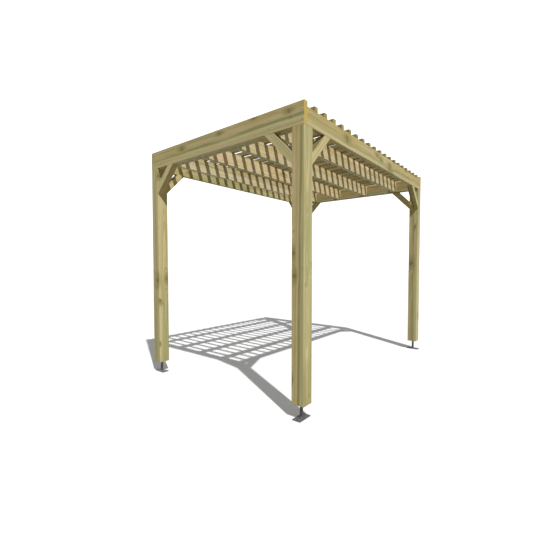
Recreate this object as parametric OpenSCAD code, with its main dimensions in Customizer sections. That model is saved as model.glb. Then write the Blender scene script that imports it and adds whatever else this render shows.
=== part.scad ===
// Free-standing timber pergola: four square posts on steel feet, a frame of
// side and cross beams with taller boards outside the cross beams, joists
// between the cross beams, narrow slats laid across, and a pair of knee
// braces at each post.
// Millimetres. +X is to the right, +Y to the back, +Z up. The origin is at
// ground level in the middle of the plan.

/* [Frame] */
// Width over the outer faces of the posts
frame_width = 2100; // [1800:10:3600]
// Depth over the outer faces of the posts
frame_depth = 3045; // [2100:15:4800]
// Clear height from the ground to the underside of the beams
headroom = 2330; // [1900:10:2800]

/* [Posts] */
// Side of each square post
post_size = 120; // [90:5:150]
// Eased edge of each post, measured along a face
post_ease = 4; // [1:1:8]
// Height of the post's end above the ground
post_lift = 120; // [60:5:200]

/* [Beams and joists] */
// Thickness of the beams, boards and joists
beam_thickness = 45; // [35:1:60]
// Height of the beams and joists
beam_height = 145; // [120:5:220]
// Clear gap between a side beam and the joist next to it
end_bay = 285; // [150:5:450]

/* [Slats] */
// Width of each slat, seen from above
slat_width = 45; // [30:1:60]
// Height of each slat
slat_height = 40; // [25:1:60]

/* [Knee braces] */
// Width of each brace, across its slope
brace_width = 70; // [45:1:95]
// Thickness of each brace
brace_thickness = 70; // [40:1:90]
// Reach of the brace's lower edge along the beam and down the post
brace_reach = 285; // [200:5:450]

/* [Feet] */
// Length of each base plate
plate_length = 160; // [140:5:220]
// Width of each base plate
plate_width = 80; // [60:5:120]
// Thickness of each base plate
plate_thickness = 6; // [5:1:12]
// Corner radius of each base plate
plate_corner = 8; // [3:1:12]
// Diameter of the stem that carries the post
stem_diameter = 27; // [20:1:40]
// Diameter of the pin on top of the stem
pin_diameter = 16; // [12:1:18]
// Length of the pin inside the post
pin_length = 90; // [50:5:120]
// Clearance around the pin, on its radius
pin_clearance = 0.3; // [0.1:0.1:1]
// Room left above the pin's end
pin_end_gap = 5; // [1:1:10]
// Diameter of the two fixing holes in each plate
fixing_hole = 12; // [8:1:14]
// Distance between the two fixing holes
fixing_spacing = 116; // [100:2:124]

/* [Hidden] */
joist_count = 4;
slat_count = 19;
half_width = frame_width / 2;
half_depth = frame_depth / 2;
post_x = half_width - post_size / 2;
post_y = half_depth - post_size / 2;
post_length = headroom - post_lift;
board_height = beam_height + slat_height;
between_boards = frame_depth - 2 * beam_thickness;
between_beams = between_boards - 2 * beam_thickness;
outer_joist_x = half_width - 1.5 * beam_thickness - end_bay;
joist_step = 2 * outer_joist_x / (joist_count - 1);
slat_gap = (between_boards - slat_count * slat_width) / (slat_count + 1);
brace_inner_reach = brace_reach - brace_width * sqrt(2);
$fn = 48;

timber = [0.66, 0.60, 0.42];
timber_end = [0.78, 0.66, 0.34];
steel = [0.33, 0.34, 0.34];

// ---- Shapes that repeat ------------------------------------------------

// A rectangle with rounded corners, centred on the origin.
module plate_outline(length, width, radius) {
    union() {
        square([length - 2 * radius, width], center = true);
        square([length, width - 2 * radius], center = true);
        for (x = [-1, 1], y = [-1, 1])
            translate([x * (length / 2 - radius), y * (width / 2 - radius)])
                circle(r = radius);
    }
}

// A base plate with two fixing holes, its long side along X, and the stem
// and pin that stand on it.
module foot() {
    difference() {
        linear_extrude(plate_thickness)
            plate_outline(plate_length, plate_width, plate_corner);
        for (x = [-1, 1])
            translate([x * fixing_spacing / 2, 0, -1])
                cylinder(d = fixing_hole, h = plate_thickness + 2);
    }
    translate([0, 0, plate_thickness])
        cylinder(d = stem_diameter, h = post_lift - plate_thickness);
    translate([0, 0, post_lift])
        cylinder(d = pin_diameter, h = pin_length);
}

// A square with its four corners cut off at 45 degrees.
module eased_square(side, ease) {
    h = side / 2;
    e = h - ease;
    polygon([
        [h, e], [e, h], [-e, h], [-h, e],
        [-h, -e], [-e, -h], [e, -h], [h, -e]
    ]);
}

// A post standing on its foot, bored for the pin.
module post() {
    difference() {
        translate([0, 0, post_lift])
            linear_extrude(post_length)
                eased_square(post_size, post_ease);
        translate([0, 0, post_lift - 1])
            cylinder(r = pin_diameter / 2 + pin_clearance,
                     h = pin_length + pin_end_gap + 1);
    }
}

// A knee brace's face: the corner of post and beam is the origin, the beam
// runs along the first axis and the post goes down the second.
module brace_face() {
    polygon([
        [brace_inner_reach, 0], [brace_reach, 0],
        [0, -brace_reach], [0, -brace_inner_reach]
    ]);
}

// The brace at the left end of the front board, flush with its face.
module brace_across() {
    translate([post_size - half_width, brace_thickness - half_depth, headroom])
        rotate([90, 0, 0])
            linear_extrude(brace_thickness)
                brace_face();
}

// The brace at the front end of the left beam, flush with its face.
module brace_along() {
    translate([-half_width, post_size - half_depth, headroom])
        rotate([90, 0, 90])
            linear_extrude(brace_thickness)
                brace_face();
}

// The front board, as long as the frame is wide.
module eaves_board() {
    translate([-half_width, -half_depth, headroom])
        cube([frame_width, beam_thickness, board_height]);
}

// The cross beam behind the front board, between the side beams.
module cross_beam() {
    translate([beam_thickness - half_width, beam_thickness - half_depth, headroom])
        cube([frame_width - 2 * beam_thickness, beam_thickness, beam_height]);
}

// A timber of this length from front to back, its left face at x.
module lengthwise(x, length) {
    translate([x, -length / 2, headroom])
        cube([beam_thickness, length, beam_height]);
}

// A joist, counted from the left.
module joist(number) {
    lengthwise((number - 1) * joist_step - outer_joist_x - beam_thickness / 2,
               between_beams);
}

// A roof slat, counted from the front.
module slat(number) {
    first = beam_thickness + slat_gap - half_depth;
    translate([-half_width, first + (number - 1) * (slat_width + slat_gap),
               headroom + beam_height])
        cube([frame_width, slat_width, slat_height]);
}

// ---- Feet: the plates lie crosswise at front left and back right --------

module foot_front_left() {
    color(steel) translate([-post_x, -post_y, 0]) foot();
}
module foot_front_right() {
    color(steel) translate([post_x, -post_y, 0]) rotate([0, 0, 90]) foot();
}
module foot_back_left() {
    color(steel) translate([-post_x, post_y, 0]) rotate([0, 0, 90]) foot();
}
module foot_back_right() {
    color(steel) translate([post_x, post_y, 0]) foot();
}

// ---- Posts ---------------------------------------------------------------

module post_front_left() { color(timber) translate([-post_x, -post_y, 0]) post(); }
module post_front_right() { color(timber) translate([post_x, -post_y, 0]) post(); }
module post_back_left() { color(timber) translate([-post_x, post_y, 0]) post(); }
module post_back_right() { color(timber) translate([post_x, post_y, 0]) post(); }

// ---- Knee braces: under the two boards, then under the two side beams ----

module brace_front_left() { color(timber) brace_across(); }
module brace_front_right() { color(timber) mirror([1, 0, 0]) brace_across(); }
module brace_back_left() { color(timber) mirror([0, 1, 0]) brace_across(); }
module brace_back_right() {
    color(timber) mirror([1, 0, 0]) mirror([0, 1, 0]) brace_across();
}
module brace_left_front() { color(timber) brace_along(); }
module brace_left_back() { color(timber) mirror([0, 1, 0]) brace_along(); }
module brace_right_front() { color(timber) mirror([1, 0, 0]) brace_along(); }
module brace_right_back() {
    color(timber) mirror([1, 0, 0]) mirror([0, 1, 0]) brace_along();
}

// ---- Eaves frame and joists ------------------------------------------------

module board_front() { color(timber_end) eaves_board(); }
module board_back() { color(timber_end) mirror([0, 1, 0]) eaves_board(); }
module beam_front() { color(timber) cross_beam(); }
module beam_back() { color(timber) mirror([0, 1, 0]) cross_beam(); }
module beam_left() { color(timber) lengthwise(-half_width, between_boards); }
module beam_right() {
    color(timber) lengthwise(half_width - beam_thickness, between_boards);
}
module joist_1() { color(timber) joist(1); }
module joist_2() { color(timber) joist(2); }
module joist_3() { color(timber) joist(3); }
module joist_4() { color(timber) joist(4); }

// ---- Roof slats, from front to back ----------------------------------------

module slat_01() { color(timber) slat(1); }
module slat_02() { color(timber) slat(2); }
module slat_03() { color(timber) slat(3); }
module slat_04() { color(timber) slat(4); }
module slat_05() { color(timber) slat(5); }
module slat_06() { color(timber) slat(6); }
module slat_07() { color(timber) slat(7); }
module slat_08() { color(timber) slat(8); }
module slat_09() { color(timber) slat(9); }
module slat_10() { color(timber) slat(10); }
module slat_11() { color(timber) slat(11); }
module slat_12() { color(timber) slat(12); }
module slat_13() { color(timber) slat(13); }
module slat_14() { color(timber) slat(14); }
module slat_15() { color(timber) slat(15); }
module slat_16() { color(timber) slat(16); }
module slat_17() { color(timber) slat(17); }
module slat_18() { color(timber) slat(18); }
module slat_19() { color(timber) slat(19); }

// ---- What is drawn -------------------------------------------------------

foot_front_left();
foot_front_right();
foot_back_left();
foot_back_right();
post_front_left();
post_front_right();
post_back_left();
post_back_right();
brace_front_left();
brace_front_right();
brace_back_left();
brace_back_right();
brace_left_front();
brace_left_back();
brace_right_front();
brace_right_back();
board_front();
board_back();
beam_front();
beam_back();
beam_left();
beam_right();
joist_1();
joist_2();
joist_3();
joist_4();
slat_01();
slat_02();
slat_03();
slat_04();
slat_05();
slat_06();
slat_07();
slat_08();
slat_09();
slat_10();
slat_11();
slat_12();
slat_13();
slat_14();
slat_15();
slat_16();
slat_17();
slat_18();
slat_19();
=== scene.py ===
"""Timber pergola: sawn and planed softwood on steel feet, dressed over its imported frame.

Metres, in the frame's own axes: +X right, +Y back, +Z up, ground at zero.
Every timber stands for one CAD node: its edges are eased, its screw holes are
countersunk, and it carries where in the log it was sawn, so that one solid
wood finish gives its faces, edges and ends the same rings and knots.
"""
import math
import random

import bmesh
import bpy
import numpy as np
from mathutils import Matrix, Vector


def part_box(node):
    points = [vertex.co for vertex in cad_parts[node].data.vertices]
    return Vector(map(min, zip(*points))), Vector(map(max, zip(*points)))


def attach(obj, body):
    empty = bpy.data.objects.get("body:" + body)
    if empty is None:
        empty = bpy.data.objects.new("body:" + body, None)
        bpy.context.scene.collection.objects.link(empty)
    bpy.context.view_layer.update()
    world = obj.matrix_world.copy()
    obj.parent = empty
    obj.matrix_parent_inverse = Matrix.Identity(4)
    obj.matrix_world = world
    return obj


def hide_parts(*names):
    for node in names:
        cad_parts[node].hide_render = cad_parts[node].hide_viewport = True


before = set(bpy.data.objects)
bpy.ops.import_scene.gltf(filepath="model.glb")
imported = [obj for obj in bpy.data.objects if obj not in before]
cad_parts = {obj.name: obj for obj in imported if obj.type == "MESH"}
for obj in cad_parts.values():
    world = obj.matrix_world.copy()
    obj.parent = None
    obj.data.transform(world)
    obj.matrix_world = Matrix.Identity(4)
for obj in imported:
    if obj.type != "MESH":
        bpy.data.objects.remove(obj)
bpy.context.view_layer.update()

NODES = sorted(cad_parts)
POSTS = [n for n in NODES if n.startswith("post_")]
FEET = [n for n in NODES if n.startswith("foot_")]
BRACES = [n for n in NODES if n.startswith("brace_")]
BOARDS = [n for n in NODES if n.startswith("board_")]
SIDE_BEAMS = ["beam_left", "beam_right"]
CROSS_BEAMS = ["beam_front", "beam_back"]
JOISTS = [n for n in NODES if n.startswith("joist_")]
SLATS = [n for n in NODES if n.startswith("slat_")]

MM = 0.001
ARRIS = 2.6 * MM          # rounded edge of a planed timber
POST_ARRIS = 2.0 * MM     # the posts' edges, which are already cut back in the frame
ARRIS_STEPS = 3
BORE_REACH = 40 * MM      # edges of a post's bore lie within this of its middle
HEAD_RADIUS = 4.3 * MM    # countersunk screw
HEAD_DEPTH = 2.5 * MM
HEAD_SUNK = 0.3 * MM      # how far a head is driven below the wood
CUT_LIFT = 0.4 * MM       # how far a countersink's cutter stands clear of the wood
RECESS_RADIUS = 2.1 * MM  # star recess in a screw's head
RECESS_DEPTH = 1.4 * MM
LOBE_DEPTH = 0.28         # how far the star's hollows go in, as a share of its radius
PLATE_EDGE = 1.0 * MM
PLATE_RIM_REACH = 30 * MM # a base plate's outer edges lie beyond this from its middle
STEM_REACH = 24 * MM      # the edge between plate and stem lies within this
WELD_LEG = 4.5 * MM


# ---- Node trees ------------------------------------------------------------


class Wire:
    """An output socket. Arithmetic on it adds Math nodes to its bench's tree."""

    def __init__(self, bench, socket):
        self.bench, self.socket = bench, socket

    def output(self, name):
        """Another output of the same node."""
        return Wire(self.bench, self.socket.node.outputs[name])

    def _math(self, operation, *terms):
        return self.bench.node("ShaderNodeMath", {"operation": operation}, dict(enumerate(terms)))

    def __add__(self, other):
        return self._math("ADD", self, other)

    def __sub__(self, other):
        return self._math("SUBTRACT", self, other)

    def __rsub__(self, other):
        return self._math("SUBTRACT", other, self)

    def __mul__(self, other):
        return self._math("MULTIPLY", self, other)

    def __truediv__(self, other):
        return self._math("DIVIDE", self, other)

    def __abs__(self):
        return self._math("ABSOLUTE", self)

    def __mod__(self, other):
        return self._math("MODULO", self, other)

    def fraction(self):
        return self._math("FRACT", self)

    def root(self):
        return self._math("SQRT", self)

    def at_most(self, other):
        return self._math("MINIMUM", self, other)

    def at_least(self, other):
        return self._math("MAXIMUM", self, other)

    __radd__ = __add__
    __rmul__ = __mul__


class Bench:
    """Adds nodes to one tree, for a finish or for a Geometry Nodes tree."""

    def __init__(self, tree):
        self.tree = tree

    def node(self, kind, settings=None, sockets=None, output=0):
        """A node of this type: settings first, then values or links by socket name or number."""
        made = self.tree.nodes.new(kind)
        for name, value in (settings or {}).items():
            setattr(made, name, value)
        for name, value in (sockets or {}).items():
            if isinstance(value, Wire):
                self.tree.links.new(value.socket, made.inputs[name])
            else:
                made.inputs[name].default_value = value
        return Wire(self, made.outputs[output]) if made.outputs else made

    def smooth(self, value, start, end):
        """0 before start and 1 after end, with a soft step between; start may be the larger."""
        return self.node("ShaderNodeMapRange", {"interpolation_type": "SMOOTHSTEP"},
                         {"Value": value, "From Min": start, "From Max": end})

    def vector(self, x, y, z):
        return self.node("ShaderNodeCombineXYZ", {}, {0: x, 1: y, 2: z})

    def split(self, vector):
        parts = self.node("ShaderNodeSeparateXYZ", {}, {0: vector})
        return parts, parts.output("Y"), parts.output("Z")

    def noise(self, x, y, z, detail=2.0, roughness=0.5):
        """Smooth noise, about 0.2 to 0.8, one cell to each unit."""
        return self.node("ShaderNodeTexNoise", {"noise_dimensions": "3D"},
                         {"Vector": self.vector(x, y, z), "Scale": 1.0,
                          "Detail": detail, "Roughness": roughness})

    def mix(self, amount, under, over, blend="MIX"):
        """Colour over laid on colour under."""
        return self.node("ShaderNodeMix", {"data_type": "RGBA", "blend_type": blend},
                         {0: amount, 6: under, 7: over}, output=2)

    def attribute(self, name, output):
        return self.node("ShaderNodeAttribute", {"attribute_name": name}, output=output)


def new_finish(name):
    """An empty material and its bench."""
    material = bpy.data.materials.new(name)
    material.use_nodes = True
    material.node_tree.nodes.clear()
    return material, Bench(material.node_tree)


def coat(bench, constants, varying):
    """The surface shader: constants sit on its own sockets, varying ones are linked."""
    shader = bench.node("ShaderNodeBsdfPrincipled", {}, {**constants, **varying})
    bench.node("ShaderNodeOutputMaterial", {}, {"Surface": shader})


def rgb(red, green, blue):
    """A linear colour with its alpha."""
    return (red, green, blue, 1.0)


# ---- The wood finish -------------------------------------------------------

PALE_SAPWOOD = rgb(0.765, 0.68, 0.375)
GREENISH_SAPWOOD = rgb(0.64, 0.64, 0.33)
TREATED_GREEN = rgb(0.47, 0.495, 0.22)
FRESH_GREEN = rgb(0.33, 0.36, 0.135)
PINK_HEARTWOOD = rgb(0.775, 0.615, 0.335)
TAN_HEARTWOOD = rgb(0.66, 0.535, 0.235)
HONEY = rgb(0.77, 0.58, 0.21)
RUST = rgb(0.50, 0.28, 0.12)
LATE_WOOD = rgb(0.66, 0.565, 0.41)
OLIVE_STAIN = rgb(0.42, 0.375, 0.145)
KNOT_HALO = rgb(0.34, 0.305, 0.115)
KNOT_HEART = rgb(0.35, 0.23, 0.095)
KNOT_BARK = rgb(0.15, 0.11, 0.05)
END_AMBER = rgb(0.80, 0.58, 0.10)
END_OLIVE = rgb(0.46, 0.41, 0.14)
CHECK_DARK = rgb(0.16, 0.12, 0.06)
BARE = rgb(1.0, 1.0, 1.0)
# The next colour darkens and greys the slats' wood all over.
SLAT_DARKENING = rgb(0.52, 0.49, 0.43)
BLEACHED = rgb(1.04, 1.06, 1.30)
# The next colour is painted shade, laid on the braces' upward faces.
PAINTED_TOP_SHADE = rgb(0.34, 0.32, 0.28)
BRANCHES = ("branch_a", "branch_b", "branch_c")

RINGS_PER_METRE = 235.0
TWIGS_PER_METRE = 2.2
TWIG_SECTORS = 0.62       # size of the ring of cells that the small knots are drawn from
BRANCH_RISE = 0.35        # branches climb as they leave the pith


def branch(place, level, way_a, way_t, size):
    """Nearness to a branch in its own radii, the same drawn out along the grain, and its radius."""
    along, across, through = place
    out = (across * way_a + through * way_t).at_least(0.0)
    beside = across * way_t - through * way_a
    above = along - level - out * BRANCH_RISE
    radius = (out * 0.4).at_most(size).at_least(0.0004)
    near = (above * above + beside * beside).root() / radius
    swirl = (above * above * 0.13 + beside * beside).root() / radius
    return near, swirl, radius


def twigs(wood, place, seed):
    """The closest of the small knots that are scattered round the log."""
    along, across, through = place
    distance = (across * across + through * through).root().at_least(0.001)
    start = seed * 7.3
    cell = wood.node("ShaderNodeTexVoronoi", {"voronoi_dimensions": "3D", "feature": "F1"},
                     {"Vector": wood.vector(along * TWIGS_PER_METRE + start,
                                            across / distance * TWIG_SECTORS,
                                            through / distance * TWIG_SECTORS),
                      "Scale": 1.0, "Randomness": 1.0}, output="Position")
    level, way_a, way_t = wood.split(cell)
    length = (way_a * way_a + way_t * way_t).root().at_least(0.001)
    chance, _, _ = wood.split(cell.output("Color"))
    return branch(place, (level - start) / TWIGS_PER_METRE, way_a / length, way_t / length,
                  wood.smooth(chance, 0.45, 1.0) * 0.015)


def main_branch(wood, place, name):
    """A knot that this timber was picked for: its level, and its way out times its radius."""
    level, way_a, way_t = wood.split(wood.attribute(name, "Vector"))
    size = (way_a * way_a + way_t * way_t).root().at_least(0.0001)
    return branch(place, level, way_a / size, way_t / size, size)


def timber_finish(name, late=0.5, stain=0.5, knots=0.8, cover=BARE, top=BARE, ends=END_AMBER):
    """Pressure-treated softwood as a solid: rings, branches, heartwood, sapwood and stain, with upward
    faces multiplied by top as painted shade.
    """
    material, wood = new_finish(name)
    along, across, through = wood.split(wood.attribute("grain", "Vector"))
    seed, heart, belt_green = wood.split(wood.attribute("board", "Vector"))
    inner_green, outer_green, depth = wood.split(wood.attribute("tint", "Vector"))
    end = wood.attribute("end_grain", "Fac")

    # Rings round the pith, which wanders, and which the branches push outwards
    drift = wood.noise(along * 0.9 + seed, seed, 3.0, detail=1.0)
    place = along, across + (drift - 0.5) * 0.026, through
    found = [twigs(wood, place, seed)] + [main_branch(wood, place, name) for name in BRANCHES]
    along, across, through = place
    wobble = wood.noise(along * 1.7 + seed, across * 13.0, through * 13.0, detail=3.0)
    ring = (across * across + through * through).root() + (wobble - 0.5) * 0.014
    for near, swirl, radius in found:
        push = wood.smooth(swirl, 4.6, 0.5)
        ring = ring - push * push * radius * 1.5
    age = ring * RINGS_PER_METRE + wood.noise(ring * 60.0, seed, 0.0, detail=1.0) * 3.0
    step = age.fraction()
    late_wood = wood.smooth(step, 0.25, 0.88) * wood.smooth(step, 1.0, 0.90)
    hue = wood.noise(ring * 32.0, along * 0.5 + seed, 11.0, detail=2.0)
    bands = wood.noise(ring * 88.0, along * 0.20 + seed, 7.0, detail=3.0, roughness=0.62)
    streaks = wood.noise(across * 58.0, along * 0.55 + seed, through * 58.0, detail=3.0, roughness=0.62)
    patches = wood.noise(across * 9.0, along * 2.6 + seed, through * 9.0, detail=3.0)
    fibre = wood.noise(across * 900.0, along * 24.0 + seed, through * 900.0, detail=2.0)

    # Heartwood stays pink or tan; the preservative greens the sapwood next to it most
    in_heart = wood.smooth(ring, heart + 0.006, heart - 0.006)
    belt = (wood.smooth(ring, heart - 0.003, heart + 0.005)
            * wood.smooth(ring, heart + 0.030, heart + 0.010))
    sapwood = wood.mix(outer_green, PALE_SAPWOOD, GREENISH_SAPWOOD)
    heartwood = wood.mix(wood.smooth(patches, 0.38, 0.62), PINK_HEARTWOOD, TAN_HEARTWOOD)
    heartwood = wood.mix(inner_green, heartwood, TREATED_GREEN)
    colour = wood.mix(in_heart, sapwood, heartwood)
    colour = wood.mix(wood.smooth(hue, 0.50, 0.66) * 0.50, colour, TREATED_GREEN)
    colour = wood.mix(wood.smooth(hue, 0.46, 0.32) * 0.45, colour, PINK_HEARTWOOD)
    colour = wood.mix(wood.smooth(patches, 0.56, 0.72) * 0.45, colour, HONEY)
    colour = wood.mix(belt * wood.smooth(wobble, 0.30, 0.55) * belt_green, colour, FRESH_GREEN)
    edge = wood.smooth(abs(ring - heart), 0.0050, 0.0008)
    colour = wood.mix(edge * 0.4 * wood.smooth(patches, 0.40, 0.56), colour, RUST)

    # Broad bands, streaks of stain and the dark late wood of each ring
    colour = wood.mix(wood.smooth(bands, 0.46, 0.66) * 0.62, colour, LATE_WOOD, "MULTIPLY")
    colour = wood.mix(wood.smooth(streaks, 0.52, 0.70) * stain, colour, OLIVE_STAIN)
    colour = wood.mix(wood.smooth(streaks, 0.46, 0.30) * 0.50, colour, rgb(0.86, 0.76, 0.47))
    colour = wood.mix(late_wood * late, colour, LATE_WOOD, "MULTIPLY")
    colour = wood.mix(wood.smooth(fibre, 0.45, 0.75) * 0.30, colour, LATE_WOOD, "MULTIPLY")
    # Painted shade: faces that look upward are multiplied by the top colour (the braces' upper faces)
    _, _, up = wood.split(wood.node("ShaderNodeNewGeometry", output="Normal"))
    colour = wood.mix(wood.smooth(up, 0.3, 0.6), colour, top, "MULTIPLY")
    colour = wood.mix(1.0, colour, cover, "MULTIPLY")

    # End grain drinks more preservative and shows amber, with open pores
    pores = wood.noise(across * 420.0, along * 90.0, through * 420.0, detail=1.0)
    amber = wood.mix(wood.smooth(patches, 0.40, 0.62) * 0.4, ends, TAN_HEARTWOOD)
    amber = wood.mix(wood.smooth(pores, 0.42, 0.66) * 0.45, amber, OLIVE_STAIN)
    amber = wood.mix(late_wood * 0.6, amber, rgb(0.48, 0.32, 0.10))
    colour = wood.mix(end * 0.9, colour, amber)

    # Branches: an olive halo along the grain, a ringed heart and a dark bark ring
    core = bark = 0.0
    for near, swirl, radius in found:
        halo = wood.smooth(swirl, 3.4, 0.8) * wood.smooth(radius, 0.0006, 0.004)
        here = wood.smooth(near, 1.08, 0.88)
        rim = wood.smooth(abs(near - 1.0), 0.34, 0.04) * wood.smooth(radius, 0.0006, 0.003)
        rings_in_knot = wood.smooth((near * 4.0).fraction(), 0.2, 0.9)
        knot = wood.mix(rings_in_knot * 0.5, KNOT_HEART, KNOT_BARK)
        colour = wood.mix(halo * halo * knots, colour, KNOT_HALO)
        colour = wood.mix(here * knots, colour, knot)
        colour = wood.mix(rim * knots * 0.6, colour, KNOT_BARK)
        core, bark = here + core, rim + bark

    # Drying checks follow the grain
    check = wood.noise(across * 130.0, along * 1.3 + seed * 2.0, through * 130.0, detail=1.0)
    check = wood.smooth(check, 0.790, 0.815) * wood.smooth(patches, 0.45, 0.60)
    colour = wood.mix(check * 0.8, colour, CHECK_DARK)
    level = 1.0 - depth
    colour = wood.node("ShaderNodeVectorMath", {"operation": "MULTIPLY"},
                       {0: colour, 1: wood.vector(level, level, level)})

    relief = (late_wood * 0.35 + fibre * 0.45 - check * 2.5 + core * 0.5 - bark * 0.6
              - end * wood.smooth(pores, 0.5, 0.7) * 0.5)
    bump = wood.node("ShaderNodeBump", {}, {"Strength": 0.55, "Distance": 0.0006, "Height": relief})
    roughness = 0.70 + (fibre - 0.5) * 0.18 - late_wood * 0.07 - core * 0.12 + end * 0.12
    coat(wood, {"Specular IOR Level": 0.35}, {"Base Color": colour, "Roughness": roughness, "Normal": bump})
    return material


# ---- Steel finishes --------------------------------------------------------


def steel_finish():
    """Hot-dipped steel gone dull: spangle, grey bloom, scuffs and a little rust by the weld; the stem above
    the plate is darkened as painted shade.
    """
    material, steel = new_finish("dull_galvanised_steel")
    place = steel.node("ShaderNodeTexCoord", output="Object")
    x, y, z = steel.split(place)
    spangle = steel.node("ShaderNodeTexVoronoi", {"voronoi_dimensions": "3D", "feature": "F1"},
                         {"Vector": place, "Scale": 190.0}, output="Color")
    grain, _, _ = steel.split(spangle)
    bloom = steel.noise(x * 42.0, y * 42.0, z * 42.0, detail=4.0, roughness=0.6)
    specks = steel.noise(x * 420.0, y * 420.0, z * 420.0, detail=2.0)
    colour = steel.mix(grain * 0.5, rgb(0.125, 0.142, 0.14), rgb(0.20, 0.218, 0.215))
    colour = steel.mix(steel.smooth(bloom, 0.42, 0.66) * 0.6, colour, rgb(0.23, 0.235, 0.23))
    # Painted shade: everything above the plate, the stem, is multiplied darker for the post's shadow over
    # it
    colour = steel.mix(steel.smooth(z, 0.009, 0.016), colour, rgb(0.55, 0.56, 0.57), "MULTIPLY")
    rust = steel.smooth(bloom, 0.60, 0.70) * steel.smooth(specks, 0.48, 0.60)
    colour = steel.mix(rust * 0.45, colour, rgb(0.16, 0.075, 0.03))
    metal = 0.55 - rust * 0.4 - steel.smooth(bloom, 0.42, 0.66) * 0.2
    roughness = 0.46 + (bloom - 0.5) * 0.35 + grain * 0.08 + rust * 0.2
    bump = steel.node("ShaderNodeBump", {}, {"Strength": 0.4, "Distance": 0.0004,
                                             "Height": bloom * 0.8 + specks * 0.35 + rust * 0.3})
    coat(steel, {}, {"Base Color": colour, "Roughness": roughness, "Metallic": metal, "Normal": bump})
    return material


def screw_finish():
    """Olive-coated screws, worn to the metal on their high spots."""
    material, screw = new_finish("olive_coated_screw")
    x, y, z = screw.split(screw.node("ShaderNodeTexCoord", output="Object"))
    wear = screw.noise(x * 700.0, y * 700.0, z * 700.0, detail=2.0)
    worn = screw.smooth(wear, 0.56, 0.66)
    colour = screw.mix(worn * 0.7, rgb(0.20, 0.185, 0.085), rgb(0.36, 0.33, 0.25))
    bump = screw.node("ShaderNodeBump", {}, {"Strength": 0.3, "Distance": 0.0002, "Height": wear})
    coat(screw, {}, {"Base Color": colour, "Roughness": 0.52 - worn * 0.18,
                     "Metallic": 0.35 + worn * 0.5, "Normal": bump})
    return material


# ---- Meshes ----------------------------------------------------------------


def merged_copy(node):
    """The node's shape as a clean bmesh: corners merged and flat faces made whole."""
    shape = bmesh.new()
    shape.from_mesh(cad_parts[node].data)
    bmesh.ops.remove_doubles(shape, verts=shape.verts, dist=1e-5)
    bmesh.ops.dissolve_limit(shape, angle_limit=math.radians(0.5),
                             verts=shape.verts, edges=shape.edges)
    bmesh.ops.recalc_face_normals(shape, faces=shape.faces)
    return shape


def ease(shape, width, steps, wanted):
    """Rounds the sharp outer edges that wanted picks."""
    edges = [e for e in shape.edges
             if len(e.link_faces) == 2 and e.calc_face_angle(0) > math.radians(60)
             and wanted(e)]
    bmesh.ops.bevel(shape, geom=edges, offset=width, segments=steps, profile=0.5,
                    affect="EDGES", clamp_overlap=True)
    bmesh.ops.recalc_face_normals(shape, faces=shape.faces)


def to_object(shape, name):
    mesh = bpy.data.meshes.new(name)
    shape.to_mesh(mesh)
    shape.free()
    piece = bpy.data.objects.new(name, mesh)
    bpy.context.scene.collection.objects.link(piece)
    return piece


def applied(piece):
    """Leaves the piece with its modifiers' result as a plain mesh."""
    depsgraph = bpy.context.evaluated_depsgraph_get()
    mesh = bpy.data.meshes.new_from_object(piece.evaluated_get(depsgraph))
    old = piece.data
    piece.modifiers.clear()
    piece.data = mesh
    bpy.data.meshes.remove(old)
    mesh.name = piece.name
    return piece


def long_way(shape):
    """The direction of a timber's grain: along its longest edge, pointing right, back or up."""
    edge = max(shape.edges, key=lambda e: round(e.calc_length(), 5))
    way = (edge.verts[1].co - edge.verts[0].co).normalized()
    return -way if (way.z, way.y, way.x) < (-1e-4, 0, 0) or way.x + way.y + 2 * way.z < 0 else way


def wide_way(shape, along):
    """The direction that a timber's widest face looks; for a square brace, its upright face."""
    if 0.1 < abs(along.z) < 0.9:
        return Vector(abs(c) for c in along.cross(Vector((0, 0, 1))).normalized())
    sides = [f for f in shape.faces if abs(f.normal.dot(along)) < 0.1]
    face = max(sides, key=lambda f: (round(f.calc_area(), 4), -f.normal.y, -f.normal.z))
    return Vector(abs(c) for c in face.normal)


def countersink(piece, screws):
    """Cuts a cone for each screw head out of the piece."""
    if not screws:
        return
    cones = bmesh.new()
    deep = HEAD_DEPTH + HEAD_SUNK
    for place, facing in screws:
        turn = facing.to_track_quat("Z", "Y").to_matrix().to_4x4()
        centre = Matrix.Translation(place + facing * (CUT_LIFT - deep) / 2) @ turn
        bmesh.ops.create_cone(cones, cap_ends=True, segments=12,
                              radius1=HEAD_RADIUS + HEAD_SUNK - deep,
                              radius2=HEAD_RADIUS + HEAD_SUNK + CUT_LIFT,
                              depth=deep + CUT_LIFT, matrix=centre)
    bmesh.ops.recalc_face_normals(cones, faces=cones.faces)
    cutter = to_object(cones, "countersink")
    cut = piece.modifiers.new("countersink", "BOOLEAN")
    cut.operation, cut.solver, cut.object = "DIFFERENCE", "EXACT", cutter
    applied(piece)
    mesh = cutter.data
    bpy.data.objects.remove(cutter)
    bpy.data.meshes.remove(mesh)


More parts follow.
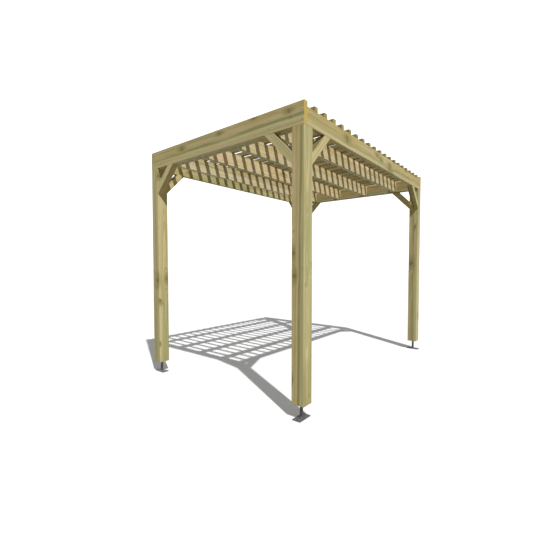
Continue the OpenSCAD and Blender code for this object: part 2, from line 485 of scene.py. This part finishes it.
def mark_grain(piece, along, through, sawn):
    """Writes where in its log each point of a timber lies, and which faces are end grain."""
    across = through.cross(along)
    across = -across if across.x + across.y + across.z < 0 else across
    mesh = piece.data
    points = np.empty(len(mesh.vertices) * 3)
    mesh.vertices.foreach_get("co", points)
    points = points.reshape(-1, 3)
    points = points - (points.min(0) + points.max(0)) / 2
    run = points @ np.array(along)
    pith_a, pith_t = sawn["pith"]
    lean_a, lean_t = sawn["lean"]
    grain = np.stack([run,
                      points @ np.array(across) - pith_a - lean_a * run,
                      points @ np.array(through) - pith_t - lean_t * run], axis=1)
    mesh.attributes.new("grain", "FLOAT_VECTOR", "POINT").data.foreach_set("vector", grain.ravel())
    told = {"board": (sawn["seed"], sawn["heart"], sawn["belt"]), "tint": sawn["tint"]}
    for name, (level, turn, size) in zip(BRANCHES, sawn["knots"]):
        turn = math.radians(turn)
        told[name] = (level, size * math.cos(turn), size * math.sin(turn))
    for name, values in told.items():
        everywhere = np.tile(values, len(mesh.vertices))
        mesh.attributes.new(name, "FLOAT_VECTOR", "POINT").data.foreach_set("vector", everywhere)
    facing = np.empty(len(mesh.polygons) * 3)
    mesh.polygons.foreach_get("normal", facing)
    ends = np.clip((np.abs(facing.reshape(-1, 3) @ np.array(along)) - 0.45) / 0.25, 0, 1)
    mesh.attributes.new("end_grain", "FLOAT", "FACE").data.foreach_set("value", ends)


# ---- How each timber was sawn ------------------------------------------------
# pith: the log's centre from the timber's, across its face and through it.
# lean: how fast the pith leaves the timber along its length.
# heart: radius of the heartwood. belt: how green the sapwood next to it is.
# tint: how green the heartwood and the sapwood are, and how deep the whole is.
# knots: level from the timber's middle, way out round the pith, and radius.


def sawn(seed, pith, heart, belt=0.6, tint=(0.2, 0.5, 0.0), lean=(0.0, 0.0), knots=()):
    return {"seed": seed, "pith": pith, "heart": heart, "belt": belt, "tint": tint,
            "lean": lean, "knots": (list(knots) + 3 * [(0.0, 0.0, 0.0)])[:3]}


def any_log(luck, reach, depth=0.0):
    """A timber of no particular cut, its pith at about this reach from its middle."""
    turn = luck.uniform(0, 2 * math.pi)
    far = reach * luck.uniform(0.7, 1.3)
    return sawn(luck.uniform(0, 40), (far * math.cos(turn), far * math.sin(turn)),
                far * luck.uniform(0.5, 1.15), luck.uniform(0.3, 0.8),
                (luck.uniform(0.0, 0.4), luck.uniform(0.0, 0.6), depth + luck.uniform(-0.05, 0.07)),
                (luck.uniform(-0.012, 0.012), luck.uniform(-0.012, 0.012)),
                [(luck.uniform(-0.9, 0.9), luck.uniform(0, 360), luck.uniform(0.0, 0.018))])


SAWN = {
    "post_front_right": sawn(3.7, (-0.052, -0.018), 0.075, 0.75, (0.20, 0.50, -0.04), (0.011, 0.0),
                             [(-0.080, 299, 0.014), (0.100, 282, 0.014)]),
    "post_front_left": sawn(11.2, (-0.020, 0.020), 0.070, 0.3, (0.10, 0.10, 0.0), (-0.006, 0.0),
                            [(-0.19, 300, 0.018), (-0.17, 12, 0.018), (-0.18, 25, 0.014)]),
    "post_back_right": sawn(17.9, (-0.060, 0.0), 0.075, 0.7, (0.1, 0.4, 0.05), (0.0, 0.006),
                            [(0.01, 301, 0.021)]),
    "post_back_left": sawn(23.4, (0.035, 0.030), 0.070, 0.4, (0.2, 0.5, 0.0), (0.006, 0.0),
                           [(0.3, 120, 0.018)]),
    "board_front": sawn(5.3, (0.070, 0.030), 0.088, 0.85, (0.22, 0.20, -0.03), (0.008, 0.0),
                        [(-0.505, 235, 0.014), (0.88, 238, 0.012)]),
    "board_back": sawn(8.8, (-0.020, -0.032), 0.065, 0.6, (0.4, 0.5, 0.0), (0.004, -0.006),
                       [(0.35, 80, 0.015)]),
    "beam_right": sawn(14.1, (0.060, -0.030), 0.088, 0.6, (0.15, 0.10, -0.03), (0.004, 0.004),
                       [(-0.834, 132, 0.019), (-0.119, 114, 0.016), (0.245, 146, 0.021)]),
    "beam_back": sawn(29.0, (0.050, 0.030), 0.090, 0.3, (0.10, 0.20, 0.25)),
    "beam_left": sawn(19.6, (0.040, -0.040), 0.065, 0.5, (0.2, 0.5, 0.0), (-0.008, 0.0),
                      [(0.2, 90, 0.016)]),
    "brace_front_right": sawn(2.2, (-0.090, 0.020), 0.030, 0.0, (0.5, 0.35, -0.10)),
    "brace_front_left": sawn(6.6, (0.095, 0.030), 0.030, 0.0, (0.5, 0.25, -0.14)),
    "brace_right_front": sawn(9.4, (0.090, 0.020), 0.030, 0.0, (0.5, 0.05, -0.10)),
}
luck = random.Random(19)
for node in POSTS + BOARDS + SIDE_BEAMS + CROSS_BEAMS + BRACES + JOISTS + SLATS:
    drawn = any_log(luck, 0.075, -0.14 if node in JOISTS else 0.0)
    SAWN.setdefault(node, drawn)


# ---- Where the screws go -----------------------------------------------------


def slat_screws(slat):
    """One screw down into each beam and joist that the slat crosses."""
    lo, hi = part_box(slat)
    middle = (lo + hi) / 2
    for under in SIDE_BEAMS + JOISTS:
        left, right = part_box(under)
        yield Vector(((left.x + right.x) / 2, middle.y, hi.z)), Vector((0, 0, 1))


def board_screws(board):
    """Two screws through the board into the end of each beam and joist."""
    lo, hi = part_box(board)
    out = -1.0 if board == "board_front" else 1.0
    for behind in SIDE_BEAMS + JOISTS:
        left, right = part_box(behind)
        height = right.z - left.z
        for share in (0.27, 0.77):
            yield (Vector(((left.x + right.x) / 2, lo.y if out < 0 else hi.y, left.z + share * height)),
                   Vector((0, out, 0)))


# ---- Timbers ----------------------------------------------------------------


def make_timber(node, finish, screws=()):
    """An eased, countersunk, grain-marked timber that stands for its CAD node."""
    shape = merged_copy(node)
    along = long_way(shape)
    through = wide_way(shape, along)
    lo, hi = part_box(node)
    is_post = node in POSTS

    def outer(edge):
        middle = (edge.verts[0].co + edge.verts[1].co) / 2 - (lo + hi) / 2
        return not is_post or max(abs(middle.x), abs(middle.y)) > BORE_REACH

    ease(shape, POST_ARRIS if is_post else ARRIS, ARRIS_STEPS, outer)
    piece = to_object(shape, node + "_timber")
    countersink(piece, list(screws))
    mark_grain(piece, along, through, SAWN[node])
    piece.data.materials.clear()
    piece.data.materials.append(finish)
    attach(piece, "root")
    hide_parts(node)
    return piece


post_wood = timber_finish("post_timber", late=0.40, stain=0.35)
# Painted shade: the braces' upward faces are darkened by their top colour
brace_wood = timber_finish("brace_timber", late=0.30, stain=0.20, top=PAINTED_TOP_SHADE)
board_wood = timber_finish("frame_timber", late=0.45, stain=0.40, knots=0.75)
joist_wood = timber_finish("joist_timber", late=0.40, stain=0.30, cover=BLEACHED)
# The slats' wood is multiplied darker and greyer all over
slat_wood = timber_finish("slat_timber", late=0.55, stain=0.60, cover=SLAT_DARKENING, ends=END_OLIVE)
steel = steel_finish()
screw_metal = screw_finish()

heads = []
for node in POSTS:
    make_timber(node, post_wood)
for node in BRACES:
    make_timber(node, brace_wood)
for node in BOARDS:
    here = list(board_screws(node))
    heads += here
    make_timber(node, board_wood, here)
for node in SIDE_BEAMS + CROSS_BEAMS:
    make_timber(node, board_wood)
for node in JOISTS:
    make_timber(node, joist_wood)
for node in SLATS:
    here = list(slat_screws(node))
    heads += here
    make_timber(node, slat_wood, here)


# ---- Screws -------------------------------------------------------------------


def screw_tree():
    """Geometry Nodes: a countersunk head with a star recess on every point, facing out."""
    tree = bpy.data.node_groups.new("countersunk_screws", "GeometryNodeTree")
    face = tree.interface
    face.new_socket("Geometry", in_out="INPUT", socket_type="NodeSocketGeometry")
    for name, size in (("Head Radius", HEAD_RADIUS), ("Head Depth", HEAD_DEPTH),
                       ("Recess Radius", RECESS_RADIUS), ("Recess Depth", RECESS_DEPTH)):
        socket = face.new_socket(name, in_out="INPUT", socket_type="NodeSocketFloat")
        socket.default_value = size
    face.new_socket("Finish", in_out="INPUT", socket_type="NodeSocketMaterial")
    face.new_socket("Geometry", in_out="OUTPUT", socket_type="NodeSocketGeometry")
    make = Bench(tree)
    given = make.node("NodeGroupInput")
    radius, depth = given.output("Head Radius"), given.output("Head Depth")
    recess, drive = given.output("Recess Radius"), given.output("Recess Depth")
    cone = make.node("GeometryNodeMeshCone", {"fill_type": "NGON"},
                     {"Vertices": 12, "Side Segments": 1, "Fill Segments": 1,
                      "Radius Top": radius, "Radius Bottom": radius - depth * 0.95,
                      "Depth": depth})
    top = cone.output("Top")
    rim = make.node("GeometryNodeExtrudeMesh", {"mode": "FACES"},
                    {"Mesh": cone, "Selection": top, "Offset Scale": 0.0, "Individual": False})
    lobe = 1.0 - make.node("GeometryNodeInputIndex") % 2.0 * LOBE_DEPTH
    star = make.node("GeometryNodeScaleElements", {"domain": "FACE"},
                     {"Geometry": rim, "Selection": rim.output("Top"), "Scale": recess / radius})
    starry = make.node("ShaderNodeVectorMath", {"operation": "MULTIPLY"},
                       {0: make.node("GeometryNodeInputPosition"), 1: make.vector(lobe, lobe, 1.0)})
    lobes = make.node("GeometryNodeSetPosition", {},
                      {"Geometry": star, "Selection": rim.output("Top"), "Position": starry})
    sunk = make.node("GeometryNodeExtrudeMesh", {"mode": "FACES"},
                     {"Mesh": lobes, "Selection": rim.output("Top"),
                      "Offset Scale": drive * -1.0, "Individual": False})
    lowered = make.node("GeometryNodeTransform", {},
                        {"Geometry": sunk, "Translation": make.vector(0.0, 0.0, depth * -1.0 - HEAD_SUNK)})
    facing = make.node("GeometryNodeInputNamedAttribute", {"data_type": "FLOAT_VECTOR"},
                       {"Name": "facing"})
    upright = make.node("FunctionNodeAlignRotationToVector", {"axis": "Z"}, {"Vector": facing})
    spin = make.node("FunctionNodeRandomValue", {"data_type": "FLOAT"},
                     {2: 0.0, 3: 2 * math.pi, "Seed": 4}, output=1)
    turned = make.node("FunctionNodeRotateRotation", {"rotation_space": "LOCAL"},
                       {"Rotation": upright,
                        "Rotate By": make.node("FunctionNodeAxisAngleToRotation", {},
                                               {"Axis": (0, 0, 1), "Angle": spin})})
    placed = make.node("GeometryNodeInstanceOnPoints", {},
                       {"Points": given, "Instance": lowered, "Rotation": turned})
    real = make.node("GeometryNodeRealizeInstances", {}, {"Geometry": placed})
    done = make.node("GeometryNodeSetMaterial", {}, {"Geometry": real, "Material": given.output("Finish")})
    make.node("NodeGroupOutput", {}, {"Geometry": done})
    return tree


def make_screws(name, screws, tree):
    """One piece for all of these screws."""
    mesh = bpy.data.meshes.new(name)
    mesh.from_pydata([place for place, _ in screws], [], [])
    facing = np.array([facing for _, facing in screws])
    mesh.attributes.new("facing", "FLOAT_VECTOR", "POINT").data.foreach_set("vector", facing.ravel())
    piece = bpy.data.objects.new(name, mesh)
    bpy.context.scene.collection.objects.link(piece)
    nodes = piece.modifiers.new("screws", "NODES")
    nodes.node_group = tree
    inputs = {i.name: i.identifier for i in tree.interface.items_tree if i.in_out == "INPUT"}
    nodes[inputs["Finish"]] = screw_metal
    nodes[inputs["Head Radius"]] = HEAD_RADIUS
    nodes[inputs["Head Depth"]] = HEAD_DEPTH
    applied(piece)
    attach(piece, "root")
    return piece


make_screws("countersunk_screws", heads, screw_tree())


# ---- Feet ---------------------------------------------------------------------


def make_foot(node):
    """A plate with softened edges, and a weld round the bottom of its stem."""
    shape = merged_copy(node)
    lo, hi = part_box(node)
    thickness = min(v.co.z for v in shape.verts if v.co.z > lo.z + 1e-4) - lo.z

    def plate_rim(edge):
        heights = [v.co.z - lo.z for v in edge.verts]
        middle = (edge.verts[0].co + edge.verts[1].co) / 2 - (lo + hi) / 2
        return max(heights) < thickness + 1e-4 and math.hypot(middle.x, middle.y) > PLATE_RIM_REACH

    def stem_foot(vert):
        way = vert.co - (lo + hi) / 2
        return abs(vert.co.z - lo.z - thickness) < 1e-4 and math.hypot(way.x, way.y) < STEM_REACH

    ease(shape, PLATE_EDGE, 2, plate_rim)
    joint = [e for e in shape.edges if stem_foot(e.verts[0]) and stem_foot(e.verts[1])
             and any(abs(f.normal.z) < 0.5 for f in e.link_faces)]
    bmesh.ops.bevel(shape, geom=joint, offset=WELD_LEG, segments=3, profile=0.5, affect="EDGES")
    bmesh.ops.recalc_face_normals(shape, faces=shape.faces)
    piece = to_object(shape, node + "_steel")
    piece.data.materials.clear()
    piece.data.materials.append(steel)
    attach(piece, "root")
    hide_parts(node)
    return piece


for node in FEET:
    make_foot(node)


# ---- Floor, light and camera ----------------------------------------------------

SUN_WAY, SUN_STRENGTH, SUN_ANGLE = Vector((-0.634, 0.33, -1.0)), 3.26, 0.9
FILL_WAY, FILL_STRENGTH, FILL_ANGLE = Vector((0.75, -0.62, -0.03)), 0.7, 20.0
GROUND_GLOW, SKY_GLOW = 0.155, 0.305
WARM_GROUND = rgb(1.15, 1.0, 0.66)
PALE_SKY = rgb(0.985, 1.0, 1.03)
FLOOR_REACH = 60.0
CAMERA_RIGHT, CAMERA_BEFORE, CAMERA_UP = 1.486, 2.211, 1.261
CAMERA_WAY = Vector((-0.6224, 0.7827, -0.0387))
FOCAL_LENGTH, SENSOR_WIDTH = 22.23, 36.0


def make_floor():
    material, paint = new_finish("white_floor")
    x, y, z = paint.split(paint.node("ShaderNodeTexCoord", output="Object"))
    tone = paint.noise(x * 3.0, y * 3.0, z, detail=2.0)
    colour = paint.mix(tone, rgb(0.94, 0.94, 0.94), rgb(0.955, 0.955, 0.955))
    coat(paint, {"Roughness": 0.9, "Specular IOR Level": 0.0}, {"Base Color": colour})
    mesh = bpy.data.meshes.new("floor")
    corners = ((-1, -1), (1, -1), (1, 1), (-1, 1))
    mesh.from_pydata([(x * FLOOR_REACH, y * FLOOR_REACH, 0) for x, y in corners], [], [(0, 1, 2, 3)])
    mesh.materials.append(material)
    floor = bpy.data.objects.new("floor", mesh)
    bpy.context.scene.collection.objects.link(floor)
    floor.visible_diffuse = False


def make_light():
    """White surroundings, one sun for crisp shadows, and a low fill from behind."""
    world = bpy.data.worlds.new("white_studio")
    world.use_nodes = True
    world.node_tree.nodes.clear()
    sky = Bench(world.node_tree)
    seen = sky.node("ShaderNodeLightPath", output="Is Camera Ray")
    _, _, height = sky.split(sky.node("ShaderNodeTexCoord", output="Generated"))
    above = sky.smooth(height, -0.1, 0.0)
    glow = GROUND_GLOW + above * (SKY_GLOW - GROUND_GLOW)
    tone = sky.mix(seen.at_least(above), WARM_GROUND, PALE_SKY)
    light = sky.node("ShaderNodeBackground", {}, {"Color": tone, "Strength": seen + glow})
    sky.node("ShaderNodeOutputWorld", {}, {"Surface": light})
    bpy.context.scene.world = world
    for name, way, strength, angle, shadow in (
            ("sun", SUN_WAY, SUN_STRENGTH, SUN_ANGLE, True),
            ("back_fill", FILL_WAY, FILL_STRENGTH, FILL_ANGLE, False)):
        lamp = bpy.data.lights.new(name, "SUN")
        lamp.energy, lamp.angle = strength, math.radians(angle)
        lamp.use_shadow = shadow
        holder = bpy.data.objects.new(name, lamp)
        holder.rotation_euler = way.to_track_quat("-Z", "Y").to_euler()
        bpy.context.scene.collection.objects.link(holder)


def make_camera():
    lens = bpy.data.cameras.new("camera")
    lens.lens, lens.sensor_width = FOCAL_LENGTH, SENSOR_WIDTH
    lens.clip_start, lens.clip_end = 0.05, 200.0
    camera = bpy.data.objects.new("camera", lens)
    near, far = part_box("post_front_right")
    camera.location = (far.x + CAMERA_RIGHT, near.y - CAMERA_BEFORE, CAMERA_UP)
    camera.rotation_euler = CAMERA_WAY.to_track_quat("-Z", "Y").to_euler()
    bpy.context.scene.collection.objects.link(camera)
    bpy.context.scene.camera = camera


make_floor()
make_light()
make_camera()
bpy.context.scene.view_settings.view_transform = "Standard"
